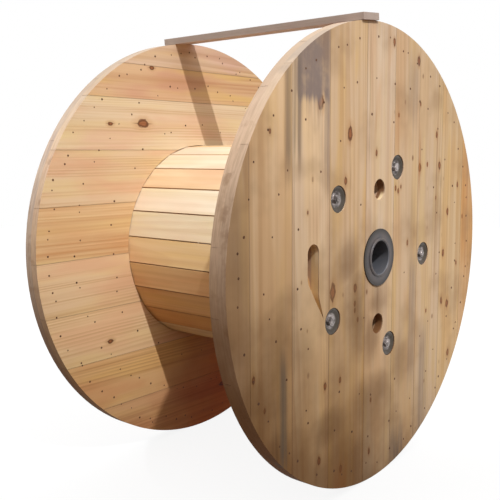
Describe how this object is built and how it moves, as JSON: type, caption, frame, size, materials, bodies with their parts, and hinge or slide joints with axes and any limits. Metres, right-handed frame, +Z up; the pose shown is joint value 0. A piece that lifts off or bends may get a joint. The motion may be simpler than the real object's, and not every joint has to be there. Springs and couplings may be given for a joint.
{
  "type": "wooden cable drum",
  "caption": "Empty wooden cable drum: two round flanges of crossed boards, a barrel of staves, steel bushes, tie rods and a lath across the rims.",
  "frame": {"origin": "on the floor under the drum's axis, midway between the two flanges", "axes": "+Z up, +Y along the drum's axis to the rear flange, +X to the right as seen from the front, where the cable slot is"},
  "size_m": [1.0999, 0.645, 1.1165],
  "materials": {
    "pine_boards": "sawn and planed pine, weathered",
    "pine_staves": "planed pine, clean",
    "batten_pine": "sawn pine, greyed",
    "bush_iron": "dark satin",
    "zinc_steel": "dull zinc plated"
  },
  "bodies": {
    "root": {"batten": "batten_pine", "front_bush": "bush_iron", "front_dished_washers": "zinc_steel", "front_inner_boards": "pine_boards", "front_nuts": "zinc_steel", "front_outer_board_1": "pine_boards", "front_outer_board_2": "pine_boards", "front_outer_board_3": "pine_boards", "front_outer_board_4": "pine_boards", "front_outer_board_5": "pine_boards", "front_outer_board_6": "pine_boards", "front_outer_board_7": "pine_boards", "front_outer_board_8": "pine_boards", "front_outer_board_9": "pine_boards", "rear_bush": "bush_iron", "rear_dished_washers": "zinc_steel", "rear_inner_board_1": "pine_boards", "rear_inner_board_2": "pine_boards", "rear_inner_board_3": "pine_boards", "rear_inner_board_4": "pine_boards", "rear_inner_board_5": "pine_boards", "rear_inner_board_6": "pine_boards", "rear_inner_board_7": "pine_boards", "rear_inner_board_8": "pine_boards", "rear_inner_board_9": "pine_boards", "rear_nuts": "zinc_steel", "rear_outer_boards": "pine_boards", "stave_01": "pine_staves", "stave_02": "pine_staves", "stave_03": "pine_staves", "stave_04": "pine_staves", "stave_05": "pine_staves", "stave_06": "pine_staves", "stave_07": "pine_staves", "stave_08": "pine_staves", "stave_09": "pine_staves", "stave_10": "pine_staves", "stave_11": "pine_staves", "stave_12": "pine_staves", "stave_13": "pine_staves", "stave_14": "pine_staves", "stave_15": "pine_staves", "stave_16": "pine_staves", "stave_17": "pine_staves", "stave_18": "pine_staves", "stave_19": "pine_staves", "stave_20": "pine_staves", "stave_21": "pine_staves", "stave_22": "pine_staves", "stave_23": "pine_staves", "stave_24": "pine_staves", "stave_25": "pine_staves", "tie_rod_1": "zinc_steel", "tie_rod_2": "zinc_steel", "tie_rod_3": "zinc_steel", "tie_rod_4": "zinc_steel", "tie_rod_5": "zinc_steel"}
  },
  "joints": []
}
